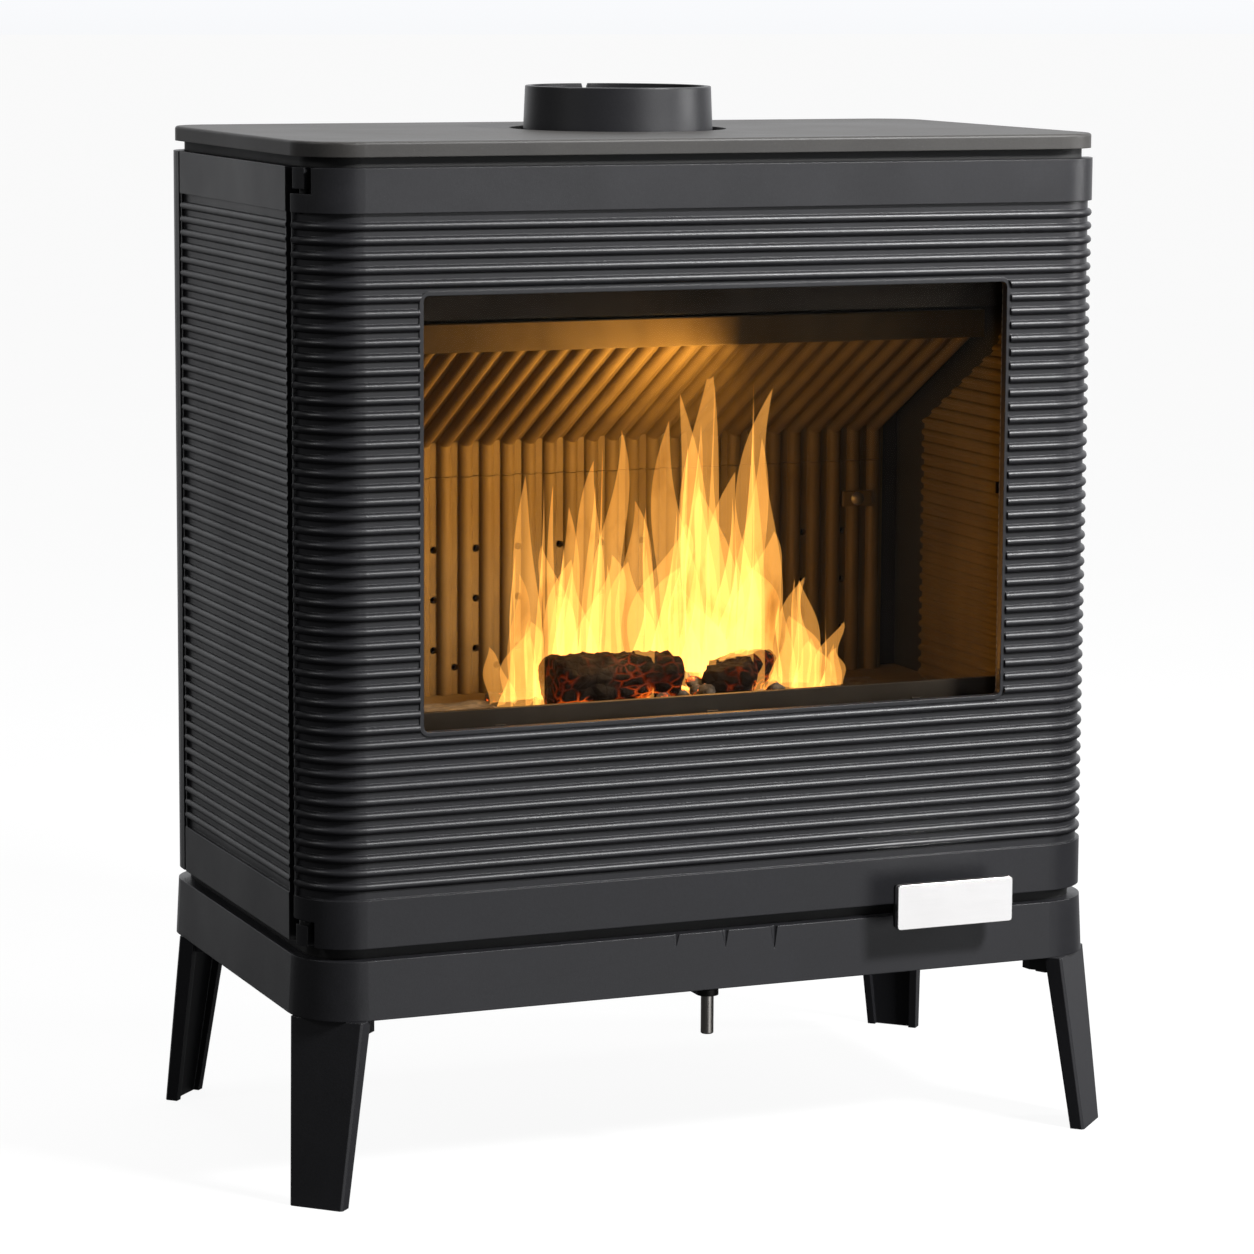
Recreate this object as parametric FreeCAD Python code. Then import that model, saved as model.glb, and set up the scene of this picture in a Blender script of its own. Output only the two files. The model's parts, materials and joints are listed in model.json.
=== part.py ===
"""Free-standing cast-iron wood burning stove on four splayed legs.

Millimetres, +Z up.  While a piece is being shaped, Y = 0 is the front face of
the door, Y grows towards the back, X = 0 is the middle and Z = 0 is the floor.
Every piece is then shifted so that the origin is below the middle of the box
around the whole stove.
"""
import FreeCAD, Part
import math
import os

V = FreeCAD.Vector
UP = V(0, 0, 1)
BACK = V(0, 1, 0)
RIGHT = V(1, 0, 0)

# ---- body, seen from above
WIDTH = 720.0
DEPTH = 400.0
FRONT_RADIUS = 48.5
REAR_RADIUS = 40.0
HALF = WIDTH / 2

# ---- levels above the floor
BASE_BOTTOM = 152.5
BASE_TOP = 201.5
BODY_BOTTOM = 211.5
BODY_TOP = 842.5
NECK_TOP = 851.0
PLATE_TOP = 863.5
COLLAR_TOP = 900.0

# ---- ribbed walls
RIB_PITCH = 11.61
RIB_RADIUS = 3.4
RIB_COUNT = 47
LOWER_BAND = 40.0
UPPER_BAND = 36.0
WALL = 10.0
EDGE_STRIP = 2.5
EDGE_STRIP_DEPTH = 0.8
SCREW_RADIUS = 3.0
SCREW_GRIP = 5.0
SIDE_FRONT_Y = 56.0
SIDE_REAR_Y = 347.5
REAR_WRAP_Y = 351.0

# ---- door and its window
DOOR_EDGE_ANGLE = 5.3
DOOR_STRIP_ANGLE = 3.0
WINDOW_HALF = 262.0
WINDOW_BOTTOM = 386.0
WINDOW_TOP = 740.0
WINDOW_RADIUS = 5.0
RIM = 3.6
RIM_DEPTH = 2.4
GASKET_THICK = 3.0
GLASS_THICK = 4.0
GLASS_MARGIN = 10.0
SEAL_HALF = 296.5
SEAL_BOTTOM = 351.0
SEAL_TOP = 775.0
ROPE_RADIUS = 5.2
FLANGE_DEPTH = 26.0
FLANGE_THICK = 8.0

# ---- hinge, 7 mm inside the corner surface
HINGE_ANGLE = 19.0
HINGE_INSET = 7.0
HINGE_PIN_RADIUS = 4.0
RUNNING_FIT = 0.05
LUG_HEIGHT = 17.0
NOTCH_HEIGHT = 21.0
NOTCH_ANGLE = 36.5

# ---- handle and latch
HANDLE_LEFT = 151.5
HANDLE_LENGTH = 109.3
HANDLE_BOTTOM = 195.0
HANDLE_HEIGHT = 39.0
HANDLE_FRONT = -30.0
HANDLE_THICK = 5.0
PIVOT_X = 206.5
PIVOT_Y = 16.0
PIVOT_RADIUS = 3.2
PIVOT_HEAD_RADIUS = 5.8
SPRING_RADIUS = 4.5
SPRING_WIRE_RADIUS = 1.1
SPRING_PITCH = 2.6
SPRING_TURNS = 3.5
LEVER_BOTTOM = 202.6
LEVER_THICK = 7.4

# ---- base and legs
BASE_FLARE = 2.5
BASE_WALL = 9.0
DECK_THICK = 6.0
NECK_INSET = 9.5
LEG_TOP_HALF = 33.0
LEG_FOOT_HALF = 23.9
LEG_TOP_FLANGE = 15.0
LEG_FOOT_FLANGE = 12.0
LEG_WALL = 7.0
LEG_BEVEL = 2.0
LEG_SPLAY = 20.5
LEG_X = 343.0
FRONT_LEG_Y = 13.0
REAR_LEG_Y = 373.0
PAD_THICK = 13.0

# ---- air control under the base
AIR_TONGUE_BOTTOM = 141.7
AIR_TONGUE_TOP = 147.2
AIR_PIN_Y = 24.0
AIR_PIN_RADIUS = 5.5
AIR_PIN_BOTTOM = 108.0
AIR_BOX_BOTTOM = 147.5
AIR_BOX_HALF = 115.0
AIR_BOX_FRONT = 58.0
AIR_BOX_REAR = 176.0
AIR_HOLE_SPACING = 60.0
AIR_HOLE_RADIUS = 14.0
AIR_HOLE_Y = 91.0

# ---- firebox
FRAME_FRONT = 36.0
FRAME_THICK = 8.0
FIREBOX_HALF = 330.0
FIREBOX_WALL = 8.0
FIREBOX_BACK = 338.0
MOUTH_HALF = 284.0
MOUTH_BOTTOM = 366.0
MOUTH_TOP = 745.0
FLOOR_TOP = 360.0
FLOOR_THICK = 8.0
LINING_FACE_X = 308.6
LINING_THICK = 9.0
LINING_RIB_PITCH = 11.0
LINING_RIB_RADIUS = 3.0
BACK_FACE_Y = 308.6
BACK_RIB_PITCH = 20.0
BACK_RIB_RADIUS = 6.5
BACK_RIBS = 30
BACK_PLATE = 8.0
BACK_TOP = 555.0
BEND_Z = 582.0
BAFFLE_FRONT_Y = 122.0
BAFFLE_FRONT_Z = 685.0
BAFFLE_LIP_TOP = 707.0

# ---- ash chamber
GRATE_HALF = 120.0
GRATE_FRONT = 110.0
GRATE_REAR = 250.0
ASH_WALL_X = 158.0
ASH_WALL_THICK = 6.0
ASH_DOOR_TOP = 300.0
PAN_HALF = 150.0
PAN_FRONT = 50.0
PAN_REAR = 300.0
PAN_TOP = 290.0

# ---- flue
FLUE_Y = 232.0
FLUE_BORE_RADIUS = 75.5
OUTLET_RADIUS = 78.0
COLLAR_TOP_RADIUS = 80.5
COLLAR_FOOT_RADIUS = 82.5
PLATE_HOLE_RADIUS = 94.0
COLLAR_FLANGE_RADIUS = 114.0
COLLAR_BOLT_CIRCLE = 104.0
COLLAR_FLANGE_THICK = 3.5
SEAL_THICK = 2.0

REAR_FOOT_Y = REAR_LEG_Y + (LEG_SPLAY + LEG_FOOT_HALF - LEG_BEVEL) / math.sqrt(2)
MIDDLE_Y = (HANDLE_FRONT + REAR_FOOT_Y) / 2


# ---------------------------------------------------------------- shapes
def box(x0, x1, y0, y1, z0, z1):
    """Block between two values on each axis."""
    return Part.makeBox(x1 - x0, y1 - y0, z1 - z0, V(x0, y0, z0))


def rod(x, y, z, radius, length, axis=UP):
    """Round bar starting at a point."""
    return Part.makeCylinder(radius, length, V(x, y, z), axis)


def hexagon(x, y, z, across_flats, height, axis=UP):
    """Hexagon head or nut standing on a point."""
    radius = across_flats / math.sqrt(3)
    corners = [V(radius * math.cos(math.radians(60 * i)), radius * math.sin(math.radians(60 * i)), 0)
               for i in range(6)]
    head = Part.Face(Part.makePolygon(corners + corners[:1])).extrude(V(0, 0, height))
    head.Placement = FreeCAD.Placement(V(x, y, z), FreeCAD.Rotation(UP, axis))
    return head


def prism(points, direction):
    """Flat polygon pushed along a direction."""
    return Part.Face(Part.makePolygon(points + points[:1])).extrude(direction)


def fused(shapes):
    """One solid from several that touch or overlap."""
    return shapes[0].multiFuse(shapes[1:]).removeSplitter()


def rounded_wire(corners, radii, place):
    """Closed outline of a rectangle with a radius at each corner, placed in space."""
    (left, low), (right, high) = corners
    centres = ((left, low, 1, 1, 180), (right, low, -1, 1, 270),
               (right, high, -1, -1, 0), (left, high, 1, -1, 90))
    arcs = []
    for (cx, cy, sx, sy, start), radius in zip(centres, radii):
        middle_x = cx + sx * radius
        middle_y = cy + sy * radius
        points = []
        for turn in (0, 45, 90):
            angle = math.radians(start + turn)
            points.append(place(middle_x + radius * math.cos(angle), middle_y + radius * math.sin(angle)))
        arcs.append(points)
    edges = []
    for this, following in zip(arcs, arcs[1:] + arcs[:1]):
        edges.append(Part.Arc(*this).toShape())
        edges.append(Part.makeLine(this[2], following[0]))
    return Part.Wire(edges)


def body_wire(grow, z):
    """Plan outline of the body, larger on every side by grow, at a height."""
    corners = ((-HALF - grow, -grow), (HALF + grow, DEPTH + grow))
    radii = (FRONT_RADIUS + grow, FRONT_RADIUS + grow, REAR_RADIUS + grow, REAR_RADIUS + grow)
    return rounded_wire(corners, radii, lambda x, y: V(x, y, z))


def body_slab(grow, z0, z1):
    """Slab with the body's plan outline."""
    return Part.Face(body_wire(grow, z0)).extrude(V(0, 0, z1 - z0))


def upright_block(half, low, high, radius, y0, y1):
    """Rounded rectangle facing the front, pushed back from y0 to y1."""
    wire = rounded_wire(((-half, low), (half, high)), (radius,) * 4, lambda x, z: V(x, y0, z))
    return Part.Face(wire).extrude(V(0, y1 - y0, 0))


def beaded_face(start, count, pitch, radius, low, high, thickness, place):
    """Section of a wall with half-round beads; place turns (depth, along) into a point."""
    edges = []
    here = place(radius, low)
    for i in range(count):
        middle = start + i * pitch
        first = place(radius, middle - radius)
        last = place(radius, middle + radius)
        edges.append(Part.makeLine(here, first))
        edges.append(Part.Arc(first, place(0, middle), last).toShape())
        here = last
    outline = (place(radius, high), place(thickness, high), place(thickness, low), place(radius, low))
    for point in outline:
        edges.append(Part.makeLine(here, point))
        here = point
    return Part.Face(Part.Wire(edges))


def ribbed_face(place):
    """Section of the outer wall: plain band, 47 beads, plain band."""
    low = BODY_BOTTOM + LOWER_BAND
    high = BODY_TOP - UPPER_BAND
    start = (low + high - (RIB_COUNT - 1) * RIB_PITCH) / 2
    edges = []
    here = place(0, BODY_BOTTOM)
    for point in (place(0, low), place(RIB_RADIUS, low)):
        edges.append(Part.makeLine(here, point))
        here = point
    for i in range(RIB_COUNT):
        middle = start + i * RIB_PITCH
        first = place(RIB_RADIUS, middle - RIB_RADIUS)
        last = place(RIB_RADIUS, middle + RIB_RADIUS)
        edges.append(Part.makeLine(here, first))
        edges.append(Part.Arc(first, place(0, middle), last).toShape())
        here = last
    for point in (place(RIB_RADIUS, high), place(0, high), place(0, BODY_TOP),
                  place(WALL, BODY_TOP), place(WALL, BODY_BOTTOM), place(0, BODY_BOTTOM)):
        edges.append(Part.makeLine(here, point))
        here = point
    return Part.Face(Part.Wire(edges))


def corner_point(side, angle, inset):
    """Plan point at an angle round a front corner, an inset below its surface."""
    turn = math.radians(angle)
    reach = FRONT_RADIUS - inset
    x = HALF - FRONT_RADIUS + reach * math.cos(turn)
    y = FRONT_RADIUS - reach * math.sin(turn)
    return side * x, y


HINGE_X, HINGE_Y = corner_point(-1, HINGE_ANGLE, HINGE_INSET)


# ---------------------------------------------------------------- base and legs
def base_frame():
    """Hollow plinth, flared downwards, with a deck, corner gussets and three air marks."""
    outer = Part.makeLoft([body_wire(3.5, BASE_BOTTOM), body_wire(3.5 - BASE_FLARE, BASE_TOP)], True, True)
    hollow = body_slab(-BASE_WALL + 2, BASE_BOTTOM - 1, BASE_TOP - DECK_THICK)
    for sx in (-1, 1):
        for corner_y, sy in ((0, 1), (DEPTH, -1)):
            points = [V(sx * HALF, corner_y, BASE_BOTTOM), V(sx * (HALF - 92), corner_y, BASE_BOTTOM),
                      V(sx * HALF, corner_y + sy * 92, BASE_BOTTOM)]
            hollow = hollow.cut(prism(points, V(0, 0, 14)))
    frame = outer.cut(hollow)
    front = -3.5 + BASE_FLARE
    for x, length in ((-40, 11), (5, 14.5), (50, 20)):
        frame = frame.cut(Part.makeCone(0, 3.4, length + 1, V(x, front - 0.6, BASE_TOP - length)))
    for x, y in leg_bolt_places():
        frame = frame.cut(rod(x, y, BASE_BOTTOM - 1, 5.0, 14))
    return frame.cut(box(-95, 95, 70, 165, BASE_BOTTOM, BASE_TOP + 1))


def leg_corners():
    """Plan position and turn of each leg, web facing outwards across its corner."""
    return {"front_left_leg": (-LEG_X, FRONT_LEG_Y, -45), "front_right_leg": (LEG_X, FRONT_LEG_Y, 45),
            "rear_left_leg": (-LEG_X, REAR_LEG_Y, -135), "rear_right_leg": (LEG_X, REAR_LEG_Y, 135)}


def leg_bolt_places():
    """Plan position of the bolt of each leg, 24 mm inside its web."""
    places = []
    for x, y, turn in leg_corners().values():
        angle = math.radians(turn)
        places.append((x - 24 * math.sin(angle), y + 24 * math.cos(angle)))
    return places


def leg_section(half, flange, shift, z):
    """Channel section of a leg with bevelled outer corners."""
    bevel = LEG_BEVEL
    w = half
    t = LEG_WALL
    points = [(-w + bevel, 0), (w - bevel, 0), (w, bevel), (w, flange), (w - t, flange), (w - t, t),
              (-w + t, t), (-w + t, flange), (-w, flange), (-w, bevel)]
    wire = [V(u, v + shift, z) for u, v in points]
    return Part.makePolygon(wire + wire[:1])


def leg(x, y, turn):
    """Splayed channel-section leg with a mounting pad at its top."""
    sections = [leg_section(LEG_FOOT_HALF, LEG_FOOT_FLANGE, -LEG_SPLAY, 0),
                leg_section(LEG_TOP_HALF, LEG_TOP_FLANGE, 0, BASE_BOTTOM)]
    channel = Part.makeLoft(sections, True, True)
    low = BASE_BOTTOM - PAD_THICK
    outline = [V(-29, 3, low), V(29, 3, low), V(29, 30, low),
               V(23, 38, low), V(-23, 38, low), V(-29, 30, low)]
    pad = prism(outline, V(0, 0, PAD_THICK))
    shape = channel.fuse(pad).removeSplitter()
    shape = shape.cut(rod(0, 24, low - 1, 5.5, PAD_THICK + 2))
    shape.rotate(V(0, 0, 0), UP, turn)
    shape.translate(V(x, y, 0))
    return shape


def leg_bolts():
    """One hexagon bolt up through the pad of each leg into the base."""
    bolts = []
    low = BASE_BOTTOM - PAD_THICK
    for x, y in leg_bolt_places():
        bolts.append(hexagon(x, y, low - 6.4, 17, 6.4).fuse(rod(x, y, low, 4.95, PAD_THICK + 12)))
    return bolts


# ---------------------------------------------------------------- air control
def air_holes(z, height):
    """Three round air passages side by side."""
    return [rod(x, AIR_HOLE_Y, z, AIR_HOLE_RADIUS, height)
            for x in (-AIR_HOLE_SPACING, 0, AIR_HOLE_SPACING)]


def air_box():
    """Sheet box under the deck that feeds air to the firebox, open at its top."""
    top = BASE_TOP - DECK_THICK
    shell = box(-AIR_BOX_HALF, AIR_BOX_HALF, AIR_BOX_FRONT, AIR_BOX_REAR, AIR_BOX_BOTTOM, top)
    inside = box(2 - AIR_BOX_HALF, AIR_BOX_HALF - 2, AIR_BOX_FRONT + 2, AIR_BOX_REAR - 2,
                 AIR_BOX_BOTTOM + 2, top + 1)
    return shell.cut(inside).cut(Part.makeCompound(air_holes(AIR_BOX_BOTTOM - 1, 4)))


def air_guides():
    """Two front hooks and one rear rail that carry the sliding shutter."""
    top = AIR_BOX_BOTTOM
    guides = []
    for side in (-1, 1):
        x0, x1 = sorted((side * 60, side * 76))
        guides.append(box(x0, x1, 60, 65.6, 140.4, top).fuse(box(x0, x1, 60, 71, 140.4, 143.4)))
    guides.append(box(-114, 114, 116.4, 121, 140.4, top).fuse(box(-114, 114, 111, 121, 140.4, 143.4)))
    return [guide.removeSplitter() for guide in guides]


def air_shutter():
    """Perforated slide with a round-ended tongue reaching to the front."""
    plate = box(-110, 110, 66, 116, 143.7, AIR_TONGUE_TOP)
    thick = AIR_TONGUE_TOP - AIR_TONGUE_BOTTOM
    tongue = box(-9.5, 9.5, AIR_PIN_Y, 74, AIR_TONGUE_BOTTOM, AIR_TONGUE_TOP)
    tip = rod(0, AIR_PIN_Y, AIR_TONGUE_BOTTOM, 9.5, thick)
    slide = fused([plate, tongue, tip])
    return slide.cut(Part.makeCompound(air_holes(140, 10)))


def air_pin():
    """Round steel pin hanging below the tongue, with a rounded lower end."""
    pin = rod(0, AIR_PIN_Y, AIR_PIN_BOTTOM, AIR_PIN_RADIUS, AIR_TONGUE_BOTTOM - AIR_PIN_BOTTOM)
    ends = [edge for edge in pin.Edges if abs(edge.BoundBox.ZMax - AIR_PIN_BOTTOM) < 0.01]
    return pin.makeFillet(1.2, ends)


# ---------------------------------------------------------------- body
def bottom_plate():
    """Recessed plate between base and body, with the latch pocket and air opening."""
    plate = body_slab(-NECK_INSET, BASE_TOP, BODY_BOTTOM)
    pocket = box(165, 262, -1, FRAME_FRONT + FRAME_THICK, BASE_TOP - 1, BODY_BOTTOM + 1)
    plate = plate.cut(pocket).cut(box(-95, 95, 70, 165, BASE_TOP - 1, BODY_BOTTOM + 1))
    for x, y in tie_rod_places():
        plate = plate.cut(rod(x, y, BODY_BOTTOM - 6, 4.05, 7))
    return plate


def tie_rod_places():
    """Plan position of the four rods between the walls and the side panels."""
    return [(sx * 340, y) for sx in (-1, 1) for y in (64, 340)]


def tie_rods():
    """Threaded rods that clamp the body between its bottom and top plates."""
    return [rod(x, y, BODY_BOTTOM - 6, 4, BODY_TOP - BODY_BOTTOM + 12) for x, y in tie_rod_places()]


def side_panel(side):
    """Ribbed side wall between the door and the rear panel."""
    face = ribbed_face(lambda depth, z: V(side * (HALF - depth), SIDE_FRONT_Y, z))
    panel = face.extrude(V(0, SIDE_REAR_Y - SIDE_FRONT_Y, 0))
    x0, x1 = sorted((side * (HALF - EDGE_STRIP_DEPTH), side * (HALF - WALL + 1)))
    for y in (SIDE_FRONT_Y, SIDE_REAR_Y - EDGE_STRIP):
        panel = panel.fuse(box(x0, x1, y, y + EDGE_STRIP, BODY_BOTTOM, BODY_TOP))
    for y, z in side_screw_places():
        start = side * (HALF - WALL - 1)
        panel = panel.cut(rod(start, y, z, SCREW_RADIUS + 0.05, SCREW_GRIP + 1.5, V(side, 0, 0)))
    return panel.removeSplitter()


def rear_panel():
    """Plain back that wraps round both rear corners, with a row of cooling slots."""
    shell = body_slab(0, BODY_BOTTOM, BODY_TOP).cut(body_slab(-8, BODY_BOTTOM - 1, BODY_TOP + 1))
    shell = shell.common(box(-HALF, HALF, REAR_WRAP_Y, DEPTH, BODY_BOTTOM, BODY_TOP))
    slots = []
    for level in (300, 760):
        for i in range(9):
            x = (i - 4) * 56
            slots.append(box(x - 20, x + 20, DEPTH - 12, DEPTH + 1, level - 4, level + 4))
    for x, z in rear_screw_places():
        slots.append(rod(x, DEPTH - 12, z, 3.2, 14, BACK))
    return shell.cut(Part.makeCompound(slots))


def rear_screw_places():
    """Where the rear panel is screwed to the firebox."""
    return [(x, z) for x in (-260, 260) for z in (250, 800)]


def side_screw_places():
    """Where each side panel is screwed to the firebox."""
    return [(y, z) for y in (100, 300) for z in (232, 820)]


def panel_spacers():
    """Tubes that hold the outer panels off the hot firebox."""
    tubes = []
    gap = HALF - WALL - FIREBOX_HALF
    for side in (-1, 1):
        for y, z in side_screw_places():
            axis = V(side, 0, 0)
            start = side * FIREBOX_HALF
            tubes.append(rod(start, y, z, 8, gap, axis).cut(rod(start, y, z, 3.2, gap, axis)))
    for x, z in rear_screw_places():
        length = DEPTH - 8 - FIREBOX_BACK
        bore = rod(x, FIREBOX_BACK, z, 3.2, length, BACK)
        tubes.append(rod(x, FIREBOX_BACK, z, 8, length, BACK).cut(bore))
    return tubes


def panel_screws():
    """Pan-head screws of the side panels, from inside, and of the rear panel, from behind."""
    screws = []
    for side in (-1, 1):
        for y, z in side_screw_places():
            start = side * (FIREBOX_HALF - FIREBOX_WALL - 3)
            axis = V(side, 0, 0)
            reach = HALF - WALL + SCREW_GRIP - abs(start)
            screws.append(rod(start, y, z, 6, 3, axis).fuse(rod(start, y, z, SCREW_RADIUS, reach, axis)))
    for x, z in rear_screw_places():
        head = rod(x, DEPTH, z, 6, 3, BACK)
        screws.append(head.fuse(rod(x, FIREBOX_BACK - 6, z, 3, DEPTH - FIREBOX_BACK + 6, BACK)))
    return screws


def firebox_side(side):
    """Plain inner wall, drilled for the panel screws."""
    x0, x1 = sorted((side * FIREBOX_HALF, side * (FIREBOX_HALF - FIREBOX_WALL)))
    wall = box(x0, x1, FRAME_FRONT + FRAME_THICK, FIREBOX_BACK, BODY_BOTTOM, BODY_TOP)
    for y, z in side_screw_places():
        wall = wall.cut(rod(-HALF, y, z, 3.2, WIDTH, RIGHT))
    return wall


def firebox_back():
    """Back inner wall between the two side walls."""
    half = FIREBOX_HALF - FIREBOX_WALL
    wall = box(-half, half, FIREBOX_BACK - FIREBOX_WALL, FIREBOX_BACK, BODY_BOTTOM, BODY_TOP)
    for x, z in rear_screw_places():
        wall = wall.cut(rod(x, FIREBOX_BACK - 20, z, 3.2, 40, BACK))
    return wall


def front_frame():
    """Front casting of the firebox that the door seals against, with the fire and ash mouths."""
    frame = box(-FIREBOX_HALF, FIREBOX_HALF, FRAME_FRONT, FRAME_FRONT + FRAME_THICK, BODY_BOTTOM, BODY_TOP)
    mouth = upright_block(MOUTH_HALF, MOUTH_BOTTOM, MOUTH_TOP, 8, 0, 60)
    ash_mouth = box(-PAN_HALF - 5, PAN_HALF + 5, 0, 60, BODY_BOTTOM - 1, ASH_DOOR_TOP)
    return frame.cut(mouth).cut(ash_mouth)


def firebox_top():
    """Recessed top of the firebox with the smoke outlet."""
    plate = body_slab(-NECK_INSET, BODY_TOP, NECK_TOP)
    plate = plate.cut(rod(0, FLUE_Y, BODY_TOP - 1, OUTLET_RADIUS, 12))
    for x, y in tie_rod_places():
        plate = plate.cut(rod(x, y, BODY_TOP - 1, 4.05, 7))
    for x, y in collar_bolt_places():
        plate = plate.cut(rod(x, y, BODY_TOP - 1, 3.0, 12))
    return plate


def top_plate():
    """Cast top with a softened upper edge and a clearance hole round the flue collar."""
    slab = body_slab(-1.5, NECK_TOP, PLATE_TOP)
    rim = [edge for edge in slab.Edges if abs(edge.BoundBox.ZMin - PLATE_TOP) < 0.01]
    slab = slab.makeFillet(2.5, rim)
    slab = slab.cut(rod(0, FLUE_Y, NECK_TOP - 1, PLATE_HOLE_RADIUS, 20))
    return slab.cut(rod(0, FLUE_Y, NECK_TOP - 1, COLLAR_FLANGE_RADIUS + 3, 9.5))


# ---------------------------------------------------------------- flue
def collar_bolt_places():
    """Four bolts round the flue collar."""
    places = []
    for i in range(4):
        angle = math.radians(45 + 90 * i)
        places.append((COLLAR_BOLT_CIRCLE * math.cos(angle), FLUE_Y + COLLAR_BOLT_CIRCLE * math.sin(angle)))
    return places


def ring(z, height, outer, inner):
    """Flat ring round the flue axis."""
    return rod(0, FLUE_Y, z, outer, height).cut(rod(0, FLUE_Y, z - 1, inner, height + 2))


def collar_seal():
    """Fibre ring under the flange of the flue collar."""
    shape = ring(NECK_TOP, SEAL_THICK, COLLAR_FLANGE_RADIUS, OUTLET_RADIUS)
    for x, y in collar_bolt_places():
        shape = shape.cut(rod(x, y, NECK_TOP - 1, 3.2, 5))
    return shape


def collar_flange():
    """Flat clamping ring round the foot of the flue collar."""
    shape = ring(NECK_TOP + SEAL_THICK, COLLAR_FLANGE_THICK, COLLAR_FLANGE_RADIUS, COLLAR_FOOT_RADIUS)
    for x, y in collar_bolt_places():
        shape = shape.cut(rod(x, y, NECK_TOP, 3.2, 8))
    return shape


def flue_collar():
    """Tapered spigot with a small notch in its rear rim."""
    foot = NECK_TOP + SEAL_THICK
    spigot = Part.makeCone(COLLAR_FOOT_RADIUS, COLLAR_TOP_RADIUS, COLLAR_TOP - foot, V(0, FLUE_Y, foot))
    lip = [edge for edge in spigot.Edges if abs(edge.BoundBox.ZMin - COLLAR_TOP) < 0.01]
    spigot = spigot.makeFillet(1.0, lip)
    shape = spigot.cut(rod(0, FLUE_Y, NECK_TOP, FLUE_BORE_RADIUS, 60))
    rear = FLUE_Y + FLUE_BORE_RADIUS - 4
    low = COLLAR_TOP - 4
    top = COLLAR_TOP + 1
    notch = prism([V(-2.6, rear, low), V(2.6, rear, low), V(4, rear, top), V(-4, rear, top)],
                  V(0, 14, 0))
    return shape.cut(notch)


def collar_bolts():
    """Low-head screws that hold the flue collar down."""
    head_low = NECK_TOP + SEAL_THICK + COLLAR_FLANGE_THICK
    bolts = []
    for x, y in collar_bolt_places():
        bolts.append(hexagon(x, y, head_low, 10, 2.8).fuse(rod(x, y, BODY_TOP, 2.95, head_low - BODY_TOP)))
    return bolts


# ---------------------------------------------------------------- linings and fire parts
def side_lining(side):
    """Ribbed side brick of cast iron with its rear top corner cut along the baffle."""
    count = 35
    low = FLOOR_TOP
    high = low + count * LINING_RIB_PITCH
    face = beaded_face(low + LINING_RIB_PITCH / 2, count, LINING_RIB_PITCH, LINING_RIB_RADIUS, low, high,
                       LINING_THICK, lambda depth, z: V(side * (LINING_FACE_X + depth), 50, z))
    slab = face.extrude(V(0, 203, 0))
    x0 = side * (LINING_FACE_X - 5)
    keep = prism([V(x0, 50, low), V(x0, 253, low), V(x0, 253, 596), V(x0, 122, 669), V(x0, 100, 690),
                  V(x0, 50, 690)], V(side * 30, 0, 0))
    return slab.common(keep)


def back_ribs_face(place, thickness):
    """Section of the vertically ribbed back; place turns (depth, across) into a point."""
    half = BACK_RIBS * BACK_RIB_PITCH / 2
    start = -half + BACK_RIB_PITCH / 2
    return beaded_face(start, BACK_RIBS, BACK_RIB_PITCH, BACK_RIB_RADIUS, -half, half, thickness, place)


def back_lining():
    """Lower back plate with upright ribs and rows of secondary air holes between them."""
    thickness = BACK_RIB_RADIUS + BACK_PLATE
    face = back_ribs_face(lambda depth, x: V(x, BACK_FACE_Y + depth, FLOOR_TOP), thickness)
    plate = face.extrude(V(0, 0, BACK_TOP - 0.4 - FLOOR_TOP))
    holes = []
    for row, z in enumerate((400, 445, 490)):
        shift = BACK_RIB_PITCH if row == 0 else 0
        for i in range(-6, 8):
            x = (2 * i - 1) * BACK_RIB_PITCH
            holes.append(rod(x, BACK_FACE_Y - 5, z, 3.2, 30, BACK))
            if shift and -6 < i < 7:
                holes.append(rod(x + shift, BACK_FACE_Y - 5, z - 16, 3.2, 30, BACK))
    return plate.cut(Part.makeCompound(holes))


def baffle():
    """Ribbed plate that rises from the back and leans forward over the fire."""
    thickness = BACK_RIB_RADIUS + BACK_PLATE
    rise = BAFFLE_FRONT_Z - BEND_Z
    run = BACK_FACE_Y - BAFFLE_FRONT_Y
    tilt = math.degrees(math.atan2(run, rise))
    face = back_ribs_face(lambda depth, x: V(x, BACK_FACE_Y + depth, BACK_TOP), thickness)
    stub = face.extrude(V(0, 0, BEND_Z - BACK_TOP + 40))
    lean_face = back_ribs_face(lambda depth, x: V(x, BACK_FACE_Y + depth, BEND_Z - 40), thickness)
    lean = lean_face.extrude(V(0, 0, math.hypot(rise, run) + 40))
    bend = V(0, BACK_FACE_Y, BEND_Z)
    lean.rotate(bend, RIGHT, tilt)
    mitre = mitre_block(bend, tilt)
    stub = stub.cut(mitre)
    lean = lean.common(mitre)
    lip = box(-300, 300, BAFFLE_FRONT_Y - 6, BAFFLE_FRONT_Y + 2, BAFFLE_FRONT_Z - 2, BAFFLE_LIP_TOP)
    return fused([stub, lean, lip])


def mitre_block(bend, tilt):
    """Large block above the mitre plane of the baffle's bend."""
    block = box(-400, 400, -400, 400, 0, 400)
    block.translate(bend)
    block.rotate(bend, RIGHT, tilt / 2)
    return block


def clip_places():
    """Where the back lining is clamped, near its last ribs."""
    return [(-270, 520), (270, 520)]


def lining_clips():
    """Small lugs that clamp the back lining."""
    clips = []
    for x, z in clip_places():
        plate = box(x - 14, x + 14, BACK_FACE_Y - 4, BACK_FACE_Y, z - 7, z + 7)
        clips.append(plate.cut(rod(x, BACK_FACE_Y - 6, z, 3.1, 10, BACK)))
    return clips


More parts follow.
